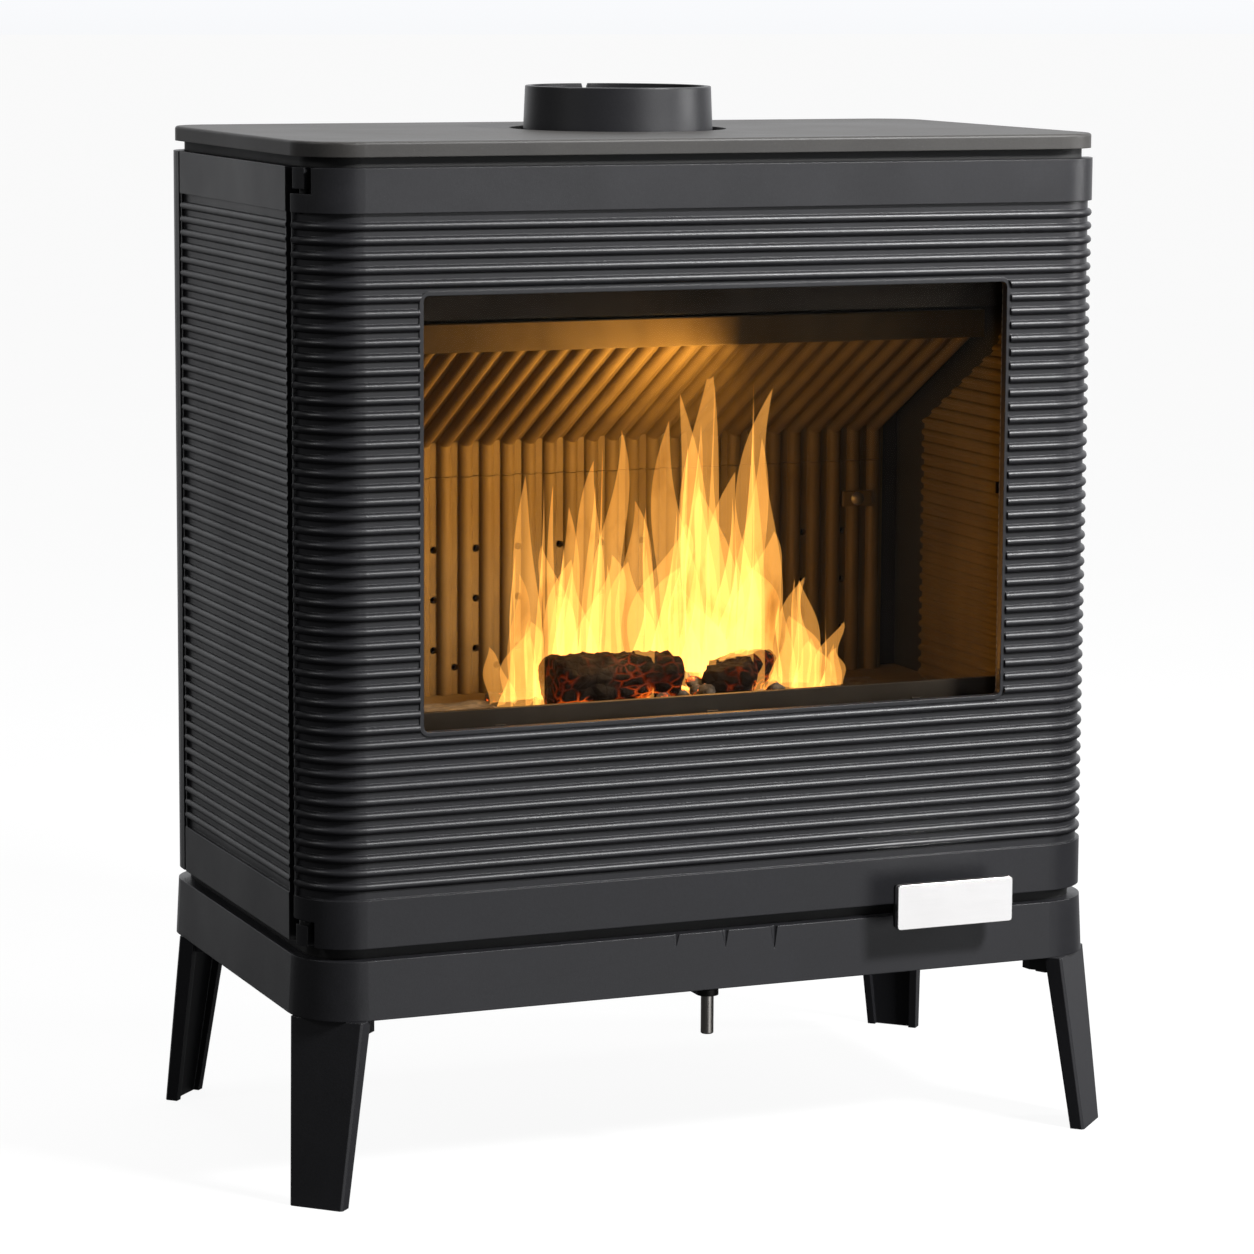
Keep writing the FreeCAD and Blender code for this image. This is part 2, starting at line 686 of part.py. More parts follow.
def lining_clip_screws():
    """Domed screws in the clamping lugs."""
    screws = []
    for x, z in clip_places():
        dome = Part.makeSphere(8, V(x, BACK_FACE_Y + 0.9, z)).common(
            box(x - 9, x + 9, BACK_FACE_Y - 9, BACK_FACE_Y - 4, z - 9, z + 9))
        screws.append(dome.fuse(rod(x, BACK_FACE_Y - 4.2, z, 3, 4.2, BACK)))
    return screws


def log_guard():
    """Low bar behind the glass that keeps logs off it."""
    bar = box(-292, 292, 46, 52, FLOOR_TOP, 394)
    foot = box(-292, 292, 46, 66, FLOOR_TOP, FLOOR_TOP + 5)
    return bar.fuse(foot).removeSplitter()


def airwash_plate():
    """Bent plate that turns hot air down behind the glass."""
    points = [V(-306, 44, 800), V(-306, 84, 800), V(-306, 84, 796), V(-306, 62, 790), V(-306, 54, 716),
              V(-306, 50, 716), V(-306, 57, 794), V(-306, 44, 796)]
    return prism(points, V(612, 0, 0))


def firebox_floor():
    """Hearth plate with the seat for the grate."""
    half = FIREBOX_HALF - FIREBOX_WALL
    low = FLOOR_TOP - FLOOR_THICK
    plate = box(-half, half, FRAME_FRONT + FRAME_THICK, FIREBOX_BACK - FIREBOX_WALL, low, FLOOR_TOP)
    plate = plate.cut(box(-GRATE_HALF, GRATE_HALF, GRATE_FRONT, GRATE_REAR, low + 3, FLOOR_TOP + 1))
    opening = box(8 - GRATE_HALF, GRATE_HALF - 8, GRATE_FRONT + 8, GRATE_REAR - 8, low - 1, FLOOR_TOP + 1)
    return plate.cut(opening)


def fire_grate():
    """Slotted grate lying in the hearth plate."""
    low = FLOOR_TOP - FLOOR_THICK + 3
    plate = box(0.5 - GRATE_HALF, GRATE_HALF - 0.5, GRATE_FRONT + 0.5, GRATE_REAR - 0.5, low, FLOOR_TOP)
    slots = []
    for i in range(11):
        x = (i - 5) * 20
        slots.append(box(x - 4, x + 4, GRATE_FRONT + 16, GRATE_REAR - 16, low - 1, FLOOR_TOP + 1))
    return plate.cut(Part.makeCompound(slots))


def ash_chamber():
    """Two cheeks that carry the hearth plate and guide the ash pan."""
    low = FLOOR_TOP - FLOOR_THICK
    cheeks = []
    for side in (-1, 1):
        x0, x1 = sorted((side * ASH_WALL_X, side * (ASH_WALL_X + ASH_WALL_THICK)))
        cheeks.append(box(x0, x1, FRAME_FRONT + FRAME_THICK, FIREBOX_BACK - FIREBOX_WALL, BODY_BOTTOM, low))
    return cheeks


def ash_pan():
    """Sheet drawer under the grate."""
    low = BODY_BOTTOM + 0.6
    shell = box(-PAN_HALF, PAN_HALF, PAN_FRONT, PAN_REAR, low, PAN_TOP)
    return shell.cut(box(2 - PAN_HALF, PAN_HALF - 2, PAN_FRONT + 2, PAN_REAR - 2, low + 2, PAN_TOP + 1))


def ash_pan_handle():
    """Wire bow on the front of the ash pan."""
    reach = PAN_FRONT - 18
    bow = [rod(-40, reach, 262, 3, 80, RIGHT), rod(-40, reach, 262, 3, PAN_FRONT - reach, BACK),
           rod(40, reach, 262, 3, PAN_FRONT - reach, BACK), Part.makeSphere(3, V(-40, reach, 262)),
           Part.makeSphere(3, V(40, reach, 262))]
    return fused(bow)


# ---------------------------------------------------------------- door
def door_shell():
    """Ribbed front with both corners, as one shell."""
    straight = HALF - FRONT_RADIUS
    wrap = 90 - DOOR_EDGE_ANGLE
    face = ribbed_face(lambda depth, z: V(-straight, depth, z))
    pieces = [face.extrude(V(2 * straight, 0, 0))]
    for side in (-1, 1):
        end = ribbed_face(lambda depth, z: V(side * straight, depth, z))
        pieces.append(end.revolve(V(side * straight, FRONT_RADIUS, 0), V(0, 0, side), wrap))
        pieces.append(door_edge_strip(side))
    return fused(pieces)


def door_edge_strip(side):
    """Narrow plain strip that closes the rib ends along one upright edge of the door."""
    centre = V(side * (HALF - FRONT_RADIUS), FRONT_RADIUS, BODY_BOTTOM)
    height = BODY_TOP - BODY_BOTTOM
    outer = FRONT_RADIUS - EDGE_STRIP_DEPTH
    inner = FRONT_RADIUS - WALL + 1
    points = []
    for reach, angle in ((inner, DOOR_EDGE_ANGLE), (outer, DOOR_EDGE_ANGLE),
                         (outer, DOOR_EDGE_ANGLE + DOOR_STRIP_ANGLE),
                         (inner, DOOR_EDGE_ANGLE + DOOR_STRIP_ANGLE)):
        turn = math.radians(angle)
        points.append(centre + V(side * reach * math.cos(turn), -reach * math.sin(turn), 0))
    return prism(points, V(0, 0, height))


def hinge_notch(low, high):
    """Wedge round the left corner that clears a hinge lug."""
    centre = V(FRONT_RADIUS - HALF, FRONT_RADIUS, low)
    far = 2 * FRONT_RADIUS
    drop = far * math.tan(math.radians(NOTCH_ANGLE))
    points = [centre, centre + V(-far, 0, 0), centre + V(-far, -drop, 0)]
    return prism(points, V(0, 0, high - low))


def door_frame():
    """Door casting: shell, window rim, seal channel, flanges and hinge bosses."""
    shell = door_shell()
    rim = (WINDOW_HALF + RIM, WINDOW_BOTTOM - RIM, WINDOW_TOP + RIM, WINDOW_RADIUS + RIM)
    shell = shell.cut(upright_block(*rim, -1, RIM_DEPTH)).fuse(upright_block(*rim, RIM_DEPTH, WALL))
    channel = upright_block(SEAL_HALF + 9, SEAL_BOTTOM - 9, SEAL_TOP + 9, 20, WALL - 1, FLANGE_DEPTH)
    channel = channel.cut(upright_block(SEAL_HALF - 9, SEAL_BOTTOM + 9, SEAL_TOP - 9, 8,
                                        WALL - 2, FLANGE_DEPTH + 1))
    groove = upright_block(SEAL_HALF + 5.5, SEAL_BOTTOM - 5.5, SEAL_TOP + 5.5, 17, 23.5, FLANGE_DEPTH + 1)
    groove = groove.cut(upright_block(SEAL_HALF - 5.5, SEAL_BOTTOM + 5.5, SEAL_TOP - 5.5, 9.5, 20, 30))
    flange = box(-300, 300, WALL - 1, FLANGE_DEPTH, BODY_BOTTOM, BODY_BOTTOM + FLANGE_THICK)
    upper_flange = box(-300, 300, WALL - 1, FLANGE_DEPTH, BODY_TOP - FLANGE_THICK, BODY_TOP)
    bosses = []
    for low in (BODY_BOTTOM + NOTCH_HEIGHT, BODY_TOP - NOTCH_HEIGHT - 15):
        bosses.append(rod(HINGE_X, HINGE_Y, low, 9.5, 15).common(body_slab(-2, low, low + 15)))
    door = shell.multiFuse([channel, flange, upper_flange] + bosses)
    cuts = [upright_block(WINDOW_HALF, WINDOW_BOTTOM, WINDOW_TOP, WINDOW_RADIUS, -1, WALL + 1), groove,
            hinge_notch(BODY_BOTTOM - 1, BODY_BOTTOM + NOTCH_HEIGHT),
            hinge_notch(BODY_TOP - NOTCH_HEIGHT, BODY_TOP + 1),
            rod(PIVOT_X, PIVOT_Y, BODY_BOTTOM - 1, PIVOT_RADIUS + RUNNING_FIT, 12),
            rod(HINGE_X, HINGE_Y, BODY_BOTTOM, HINGE_PIN_RADIUS + RUNNING_FIT, NOTCH_HEIGHT + 16),
            rod(HINGE_X, HINGE_Y, BODY_TOP - NOTCH_HEIGHT - 16, HINGE_PIN_RADIUS + RUNNING_FIT, 40)]
    for x, z, _ in clip_spots():
        cuts.append(rod(x, WALL - 6, z, 2.4, 8, BACK))
    for tool in cuts:
        door = door.cut(tool)
    return door


def glass_gasket():
    """Flat fibre frame between door and glass."""
    outer = upright_block(WINDOW_HALF + 9, WINDOW_BOTTOM - 9, WINDOW_TOP + 9, 6, WALL, WALL + GASKET_THICK)
    inner = upright_block(WINDOW_HALF + 1, WINDOW_BOTTOM - 1, WINDOW_TOP + 1, 5,
                          WALL - 1, WALL + GASKET_THICK + 1)
    return outer.cut(inner)


def door_glass():
    """Ceramic glass pane."""
    front = WALL + GASKET_THICK
    return upright_block(WINDOW_HALF + GLASS_MARGIN, WINDOW_BOTTOM - GLASS_MARGIN,
                         WINDOW_TOP + GLASS_MARGIN, 4,
                         front, front + GLASS_THICK)


def clip_spots():
    """Screw position of each glass clip and the way its tongue points."""
    out = WINDOW_HALF + GLASS_MARGIN + 6
    low = WINDOW_BOTTOM - GLASS_MARGIN - 6
    high = WINDOW_TOP + GLASS_MARGIN + 6
    middle = (low + high) / 2
    spots = [(-out, middle, (1, 0)), (out, middle, (-1, 0))]
    for x in (-190, 0, 190):
        spots.append((x, low, (0, 1)))
        spots.append((x, high, (0, -1)))
    return spots


def glass_clips():
    """Stepped clips that press the glass on its gasket."""
    clips = []
    back = WALL + GASKET_THICK + GLASS_THICK
    for x, z, (ux, uz) in clip_spots():
        post = box(x - 5, x + 5, WALL, back, z - 5, z + 5)
        low_x, high_x = sorted((x - 5 * (1 if ux == 0 else ux), x + (5 if ux == 0 else 16 * ux)))
        low_z, high_z = sorted((z - 5 * (1 if uz == 0 else uz), z + (5 if uz == 0 else 16 * uz)))
        clip = post.fuse(box(low_x, high_x, back, back + 2, low_z, high_z)).removeSplitter()
        clips.append(clip.cut(rod(x, WALL - 1, z, 2.4, 20, BACK)))
    return clips


def glass_screws():
    """Screws of the glass clips."""
    screws = []
    back = WALL + GASKET_THICK + GLASS_THICK + 2
    for x, z, _ in clip_spots():
        screws.append(rod(x, back, z, 4.2, 2.6, BACK).fuse(rod(x, WALL - 5, z, 2.3, back - WALL + 5, BACK)))
    return screws


def door_rope():
    """Round fibre rope in the channel of the door."""
    y = 30.2
    corners = ((-SEAL_HALF, SEAL_BOTTOM), (SEAL_HALF, SEAL_TOP))
    path = rounded_wire(corners, (14,) * 4, lambda x, z: V(x, y, z))
    start = path.Edges[1].Vertexes[0].Point
    heading = path.Edges[1].tangentAt(path.Edges[1].FirstParameter)
    section = Part.Wire([Part.makeCircle(ROPE_RADIUS, start, heading)])
    return path.makePipeShell([section], True, False)


def hinge_lug(low):
    """Fixed lug in a corner notch, flush with the corner surface."""
    depth = HINGE_INSET
    lug = box(-7.5, 7.5, -depth, depth, 0, LUG_HEIGHT)
    lug.rotate(V(0, 0, 0), UP, HINGE_ANGLE - 90)
    lug.translate(V(HINGE_X, HINGE_Y, low))
    lug = lug.common(body_slab(0, low, low + LUG_HEIGHT))
    arm = box(HINGE_X + 3, -FIREBOX_HALF, HINGE_Y + 3, FRAME_FRONT + 8, low, low + LUG_HEIGHT)
    lug = lug.fuse(arm).removeSplitter()
    return lug.cut(rod(HINGE_X, HINGE_Y, low - 1, HINGE_PIN_RADIUS, LUG_HEIGHT + 2))


def hinge_pins():
    """Two upright pins, pressed into the lugs and running in the door bosses."""
    lower = rod(HINGE_X, HINGE_Y, BODY_BOTTOM, HINGE_PIN_RADIUS, NOTCH_HEIGHT + 15)
    upper = rod(HINGE_X, HINGE_Y, BODY_TOP - NOTCH_HEIGHT - 15, HINGE_PIN_RADIUS, NOTCH_HEIGHT + 15)
    return [lower, upper]


def hinge_washer():
    """Bearing washer between the lower lug and the door."""
    low = BODY_BOTTOM + LUG_HEIGHT
    bore = rod(HINGE_X, HINGE_Y, low - 1, HINGE_PIN_RADIUS + RUNNING_FIT, 6)
    return rod(HINGE_X, HINGE_Y, low, 7, 3.7).cut(bore)


# ---------------------------------------------------------------- handle and latch
def handle_plate():
    """Brushed steel face plate with rounded corners."""
    far_corner = (HANDLE_LEFT + HANDLE_LENGTH, HANDLE_BOTTOM + HANDLE_HEIGHT)
    wire = rounded_wire(((HANDLE_LEFT, HANDLE_BOTTOM), far_corner),
                        (3.2,) * 4, lambda x, z: V(x, HANDLE_FRONT, z))
    plate = Part.Face(wire).extrude(V(0, HANDLE_THICK, 0))
    rim = [edge for edge in plate.Edges if abs(edge.BoundBox.YMax - HANDLE_FRONT) < 0.01]
    return plate.makeFillet(0.8, rim)


def handle_carrier():
    """Dark backing plate joined to the latch lever."""
    back = HANDLE_FRONT + HANDLE_THICK
    wire = rounded_wire(((HANDLE_LEFT + 0.8, HANDLE_BOTTOM + 0.8),
                         (HANDLE_LEFT + HANDLE_LENGTH - 0.8, HANDLE_BOTTOM + HANDLE_HEIGHT - 0.8)),
                        (2.6,) * 4, lambda x, z: V(x, back, z))
    return Part.Face(wire).extrude(V(0, 5, 0))


def latch_lever():
    """Flat lever from the handle to its pivot, with a short hook behind it."""
    front = HANDLE_FRONT + HANDLE_THICK + 5
    low = LEVER_BOTTOM
    arm = box(PIVOT_X - 15, PIVOT_X + 15, front, PIVOT_Y, low, low + LEVER_THICK)
    eye = rod(PIVOT_X, PIVOT_Y, low, 11, LEVER_THICK)
    eye_arm = box(PIVOT_X - 11, PIVOT_X + 11, front, PIVOT_Y, low, low + LEVER_THICK)
    arm = arm.cut(box(PIVOT_X - 20, PIVOT_X + 20, 4, 30, low - 1, low + 10)).fuse(eye_arm)
    tail = box(PIVOT_X - 5, PIVOT_X + 5, PIVOT_Y, 38, low, low + LEVER_THICK)
    nose = box(190, PIVOT_X, 32, 38, low, low + LEVER_THICK)
    lever = fused([arm, eye, tail, nose])
    return lever.cut(rod(PIVOT_X, PIVOT_Y, low - 1, PIVOT_RADIUS, 12))


def latch_pivot():
    """Headed pivot pin through the bottom flange of the door."""
    top = BODY_BOTTOM + FLANGE_THICK
    pin = rod(PIVOT_X, PIVOT_Y, LEVER_BOTTOM, PIVOT_RADIUS, top + 16 - LEVER_BOTTOM)
    return pin.fuse(rod(PIVOT_X, PIVOT_Y, top + 13, PIVOT_HEAD_RADIUS, 3)).removeSplitter()


def latch_spring():
    """Torsion spring round the pivot that returns the handle."""
    low = BODY_BOTTOM + FLANGE_THICK + 1.2
    helix = Part.makeHelix(SPRING_PITCH, SPRING_PITCH * SPRING_TURNS, SPRING_RADIUS)
    section = Part.Wire([Part.makeCircle(SPRING_WIRE_RADIUS, V(SPRING_RADIUS, 0, 0), V(0, 1, 0))])
    coil = Part.Wire(helix).makePipeShell([section], True, True)
    coil.translate(V(PIVOT_X, PIVOT_Y, low))
    return coil


def latch_keeper():
    """Fixed peg beside the hook of the lever."""
    low = LEVER_BOTTOM - 1.1
    peg = box(165, 188.5, 22, 30, low, low + 8)
    corners = [edge for edge in peg.Edges
               if abs(edge.BoundBox.XMin - 188.5) < 0.01 and edge.BoundBox.ZLength > 5]
    return peg.makeFillet(2.5, corners)


# ---------------------------------------------------------------- export
def all_parts():
    """Every node: its name and its solid, or its list of identical solids."""
    parts = {
        "base_frame": base_frame(), "leg_bolts": leg_bolts(), "bottom_plate": bottom_plate(),
        "air_box": air_box(), "air_guides": air_guides(), "air_shutter": air_shutter(), "air_pin": air_pin(),
        "left_side_panel": side_panel(-1), "right_side_panel": side_panel(1), "rear_panel": rear_panel(),
        "panel_spacers": panel_spacers(), "panel_screws": panel_screws(), "tie_rods": tie_rods(),
        "firebox_left_wall": firebox_side(-1), "firebox_right_wall": firebox_side(1),
        "firebox_back_wall": firebox_back(), "front_frame": front_frame(), "firebox_top": firebox_top(),
        "top_plate": top_plate(), "collar_seal": collar_seal(), "flue_collar": flue_collar(),
        "collar_flange": collar_flange(),
        "collar_bolts": collar_bolts(), "left_lining": side_lining(-1), "right_lining": side_lining(1),
        "back_lining": back_lining(), "baffle": baffle(), "lining_clips": lining_clips(),
        "lining_clip_screws": lining_clip_screws(), "log_guard": log_guard(),
        "airwash_plate": airwash_plate(),
        "firebox_floor": firebox_floor(), "fire_grate": fire_grate(), "ash_chamber": ash_chamber(),
        "ash_pan": ash_pan(), "ash_pan_handle": ash_pan_handle(), "door_frame": door_frame(),
        "glass_gasket": glass_gasket(), "door_glass": door_glass(), "glass_clips": glass_clips(),
        "glass_screws": glass_screws(), "door_rope": door_rope(), "lower_hinge_lug": hinge_lug(BODY_BOTTOM),
        "upper_hinge_lug": hinge_lug(BODY_TOP - LUG_HEIGHT), "hinge_pins": hinge_pins(),
        "hinge_washer": hinge_washer(), "handle_plate": handle_plate(), "handle_carrier": handle_carrier(),
        "latch_lever": latch_lever(), "latch_pivot": latch_pivot(), "latch_spring": latch_spring(),
        "latch_keeper": latch_keeper(),
    }
    for name, place in leg_corners().items():
        parts[name] = leg(*place)
    return parts


def main():
    """Write one STEP file per node."""
    os.makedirs("parts", exist_ok=True)
    for name, shape in all_parts().items():
        if isinstance(shape, list):
            shape = Part.makeCompound(shape)
        shape.translate(V(0, -MIDDLE_Y, 0))
        shape.exportStep("parts/" + name + ".step")
        box_of = shape.BoundBox
        print("%-20s solids %2d valid %s volume %10.0f  x %7.1f %7.1f  y %7.1f %7.1f  z %7.1f %7.1f" % (
            name, len(shape.Solids), shape.isValid(), shape.Volume, box_of.XMin, box_of.XMax, box_of.YMin,
            box_of.YMax, box_of.ZMin, box_of.ZMax))


main()
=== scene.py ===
import json
import math
import random

import bpy
from mathutils import Matrix, Vector, noise


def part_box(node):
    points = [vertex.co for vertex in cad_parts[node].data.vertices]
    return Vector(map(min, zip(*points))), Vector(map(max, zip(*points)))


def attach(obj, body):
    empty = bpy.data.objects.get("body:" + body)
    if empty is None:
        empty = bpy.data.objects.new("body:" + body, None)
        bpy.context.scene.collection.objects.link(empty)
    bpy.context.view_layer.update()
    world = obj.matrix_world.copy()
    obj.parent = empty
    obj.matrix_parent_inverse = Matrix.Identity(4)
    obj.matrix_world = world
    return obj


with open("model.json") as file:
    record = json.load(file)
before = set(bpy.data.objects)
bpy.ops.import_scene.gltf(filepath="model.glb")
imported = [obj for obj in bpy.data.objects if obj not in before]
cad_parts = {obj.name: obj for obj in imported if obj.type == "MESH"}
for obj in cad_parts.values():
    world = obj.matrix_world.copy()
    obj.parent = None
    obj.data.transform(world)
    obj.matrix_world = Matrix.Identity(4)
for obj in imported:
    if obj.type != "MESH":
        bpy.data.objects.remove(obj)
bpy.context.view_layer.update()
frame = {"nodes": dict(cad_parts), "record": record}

# ---- places taken from the frame
FRONT_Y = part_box("door_frame")[0].y
HEARTH_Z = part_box("firebox_floor")[1].z
FIRE_Y = FRONT_Y + 0.165


# ---------------------------------------------------------------- shader helpers
class Shader:
    """Small helper that adds and links the nodes of one material."""

    def __init__(self, name):
        """New material with only its output node."""
        self.material = bpy.data.materials.new(name)
        self.material.use_nodes = True
        self.tree = self.material.node_tree
        self.tree.nodes.clear()
        self.output = self.add("ShaderNodeOutputMaterial")

    def add(self, kind, values=None, **settings):
        """One node with its settings and its socket values or links."""
        made = self.tree.nodes.new(kind)
        for key, value in settings.items():
            setattr(made, key, value)
        for key, value in (values or {}).items():
            socket = made.inputs[key]
            if isinstance(value, bpy.types.NodeSocket):
                self.tree.links.new(value, socket)
            else:
                socket.default_value = value
        return made

    def place(self, scale=(1, 1, 1), turn=(0, 0, 0)):
        """Object coordinates in metres, stretched and turned."""
        where = self.add("ShaderNodeTexCoord")
        mapped = self.add("ShaderNodeMapping", {"Vector": where.outputs["Object"], "Scale": scale,
                                                "Rotation": turn})
        return mapped.outputs["Vector"]

    def noise(self, scale, detail=3.0, rough=0.55, vector=None, distortion=0.0):
        """Noise value, 0 to 1."""
        vector = vector or self.place()
        return self.add("ShaderNodeTexNoise", {"Vector": vector, "Scale": scale, "Detail": detail,
                                               "Roughness": rough, "Distortion": distortion}).outputs["Fac"]

    def spread(self, value, low, high, to_low=0.0, to_high=1.0):
        """Value moved from one range to another and clamped."""
        return self.add("ShaderNodeMapRange", {"Value": value, "From Min": low, "From Max": high,
                                               "To Min": to_low, "To Max": to_high}).outputs["Result"]

    def math(self, kind, first, second=0.0):
        """One sum of two values."""
        return self.add("ShaderNodeMath", {0: first, 1: second}, operation=kind).outputs["Value"]

    def ramp(self, value, stops):
        """Colour picked from a list of (place, colour)."""
        made = self.add("ShaderNodeValToRGB", {"Fac": value})
        colours = made.color_ramp.elements
        while len(colours) < len(stops):
            colours.new(0.5)
        for element, (place, colour) in zip(colours, stops):
            element.position = place
            element.color = (*colour, 1.0)
        return made.outputs["Color"]

    def bump(self, heights, bevel=0.0):
        """Normal from (height value, strength, distance) layers over an optional edge rounding."""
        normal = None
        if bevel:
            normal = self.add("ShaderNodeBevel", {"Radius": bevel}, samples=4).outputs["Normal"]
        for height, strength, distance in heights:
            values = {"Height": height, "Strength": strength, "Distance": distance}
            if normal:
                values["Normal"] = normal
            normal = self.add("ShaderNodeBump", values).outputs["Normal"]
        return normal

    def finish(self, **sockets):
        """Principled surface on the output."""
        names = {key.replace("_", " "): value for key, value in sockets.items()}
        surface = self.add("ShaderNodeBsdfPrincipled", names)
        self.tree.links.new(surface.outputs["BSDF"], self.output.inputs["Surface"])
        return self.material


def mixed(low, high, share):
    """Colour between two colours."""
    return tuple(a + (b - a) * share for a, b in zip(low, high))


# ---------------------------------------------------------------- materials
def cast_paint(name, dark, light, rough=(0.46, 0.62), grain=1.0, level=0.42, bevel=0.0011):
    """Matt paint on sand-cast iron: fine grain, soft unevenness and dusty patches."""
    s = Shader(name)
    fine = s.noise(1150, 4, 0.6)
    pores = s.noise(480, 5, 0.62)
    swell = s.noise(26, 3, 0.5)
    patch = s.noise(7, 5, 0.6, distortion=0.4)
    speck = s.spread(s.noise(620, 2, 0.5), 0.66, 0.78)
    tone = s.math("ADD", s.math("MULTIPLY", patch, 0.65), s.math("MULTIPLY", pores, 0.35))
    colour = s.ramp(tone, [(0.3, dark), (0.55, mixed(dark, light, 0.5)), (0.75, light)])
    colour = s.add("ShaderNodeMix", {"Factor": s.math("MULTIPLY", speck, 0.25), 6: colour,
                                     7: (*[min(1, 1.9 * c) for c in light], 1)}, data_type="RGBA").outputs[2]
    roughness = s.spread(s.math("ADD", patch, s.math("MULTIPLY", fine, 0.6)), 0.5, 1.1, rough[0], rough[1])
    layers = [(swell, 0.15, 0.0010), (pores, 0.12 * grain, 0.0004), (fine, 0.45 * grain, 0.00020)]
    normal = s.bump(layers, bevel)
    return s.finish(Base_Color=colour, Roughness=roughness, Normal=normal, Specular_IOR_Level=level)


def fire_iron():
    """Cast iron browned by heat, with soot higher up."""
    s = Shader("fire_iron")
    patch = s.noise(9, 5, 0.62, distortion=0.6)
    pores = s.noise(260, 4, 0.6)
    streak = s.noise(30, 3, 0.5, s.place((1, 1, 0.15)))
    height = s.add("ShaderNodeSeparateXYZ", {"Vector": s.place()}).outputs["Z"]
    soot = s.spread(s.math("ADD", height, s.math("MULTIPLY", patch, 0.12)), 0.56, 0.78)
    tone = s.math("ADD", s.math("MULTIPLY", patch, 0.6), s.math("MULTIPLY", streak, 0.4))
    colour = s.ramp(tone, [(0.3, (0.10, 0.068, 0.026)), (0.5, (0.16, 0.112, 0.045)),
                           (0.72, (0.22, 0.158, 0.068))])
    colour = s.add("ShaderNodeMix", {"Factor": s.math("MULTIPLY", soot, 0.35), 6: colour,
                                     7: (0.05, 0.035, 0.025, 1)}, data_type="RGBA").outputs[2]
    normal = s.bump([(pores, 0.12, 0.0004), (s.noise(900, 3), 0.3, 0.0002)], 0.0012)
    return s.finish(Base_Color=colour, Roughness=s.spread(patch, 0.3, 0.7, 0.5, 0.7), Normal=normal,
                    Specular_IOR_Level=0.3)


def sheet_steel():
    """Dark sheet steel with faint rolling marks."""
    s = Shader("sheet_steel")
    roll = s.noise(90, 3, 0.5, s.place((0.06, 1, 1)))
    patch = s.noise(14, 4)
    colour = s.ramp(patch, [(0.3, (0.028, 0.026, 0.024)), (0.7, (0.06, 0.055, 0.05))])
    return s.finish(Base_Color=colour, Metallic=0.5, Roughness=s.spread(roll, 0.3, 0.7, 0.4, 0.6),
                    Normal=s.bump([(roll, 0.15, 0.0003)], 0.0006))


def brushed_steel(name, colour_low, colour_high, along, rough, bevel):
    """Steel with fine brushing along one axis."""
    s = Shader(name)
    stretch = [2600, 2600, 2600]
    stretch[along] = 14
    lines = s.noise(1.0, 4, 0.7, s.place(stretch))
    broad = s.noise(11, 3, 0.5)
    tone = s.math("ADD", s.math("MULTIPLY", lines, 0.55), s.math("MULTIPLY", broad, 0.45))
    colour = s.ramp(tone, [(0.35, colour_low), (0.65, colour_high)])
    return s.finish(Base_Color=colour, Metallic=1.0, Roughness=s.spread(lines, 0.3, 0.7, rough[0], rough[1]),
                    Anisotropic=0.6, Normal=s.bump([(lines, 0.12, 0.00008)], bevel))


def fibre():
    """Braided glass-fibre rope and felt."""
    s = Shader("fibre_seal")
    braid_a = s.add("ShaderNodeTexWave", {"Vector": s.place(turn=(0, 0.785, 0.785)), "Scale": 95,
                                          "Distortion": 1.0}, bands_direction="X").outputs["Fac"]
    braid_b = s.add("ShaderNodeTexWave", {"Vector": s.place(turn=(0, -0.785, 0.785)), "Scale": 95,
                                          "Distortion": 1.0}, bands_direction="X").outputs["Fac"]
    braid = s.math("MAXIMUM", braid_a, braid_b)
    fuzz = s.noise(800, 4, 0.7)
    colour = s.ramp(s.math("ADD", s.math("MULTIPLY", braid, 0.5), s.math("MULTIPLY", fuzz, 0.5)),
                    [(0.2, (0.07, 0.066, 0.06)), (0.8, (0.34, 0.32, 0.29))])
    return s.finish(Base_Color=colour, Roughness=0.9, Sheen_Weight=0.3,
                    Normal=s.bump([(braid, 0.8, 0.0012), (fuzz, 0.5, 0.0004)]))


def stove_glass():
    """Clear ceramic glass: mostly see-through, with a faint smoke film and reflections."""
    s = Shader("stove_glass")
    film = s.noise(6, 5, 0.6, distortion=0.8)
    tint = s.ramp(film, [(0.3, (0.93, 0.90, 0.86)), (0.8, (0.80, 0.74, 0.66))])
    through = s.add("ShaderNodeBsdfTransparent", {"Color": tint})
    shine = s.add("ShaderNodeBsdfGlossy", {"Color": (0.9, 0.9, 0.9, 1), "Roughness": 0.04})
    share = s.add("ShaderNodeFresnel", {"IOR": 1.1}).outputs["Fac"]
    both = s.add("ShaderNodeMixShader", {0: share, 1: through.outputs["BSDF"], 2: shine.outputs["BSDF"]})
    s.tree.links.new(both.outputs["Shader"], s.output.inputs["Surface"])
    return s.material


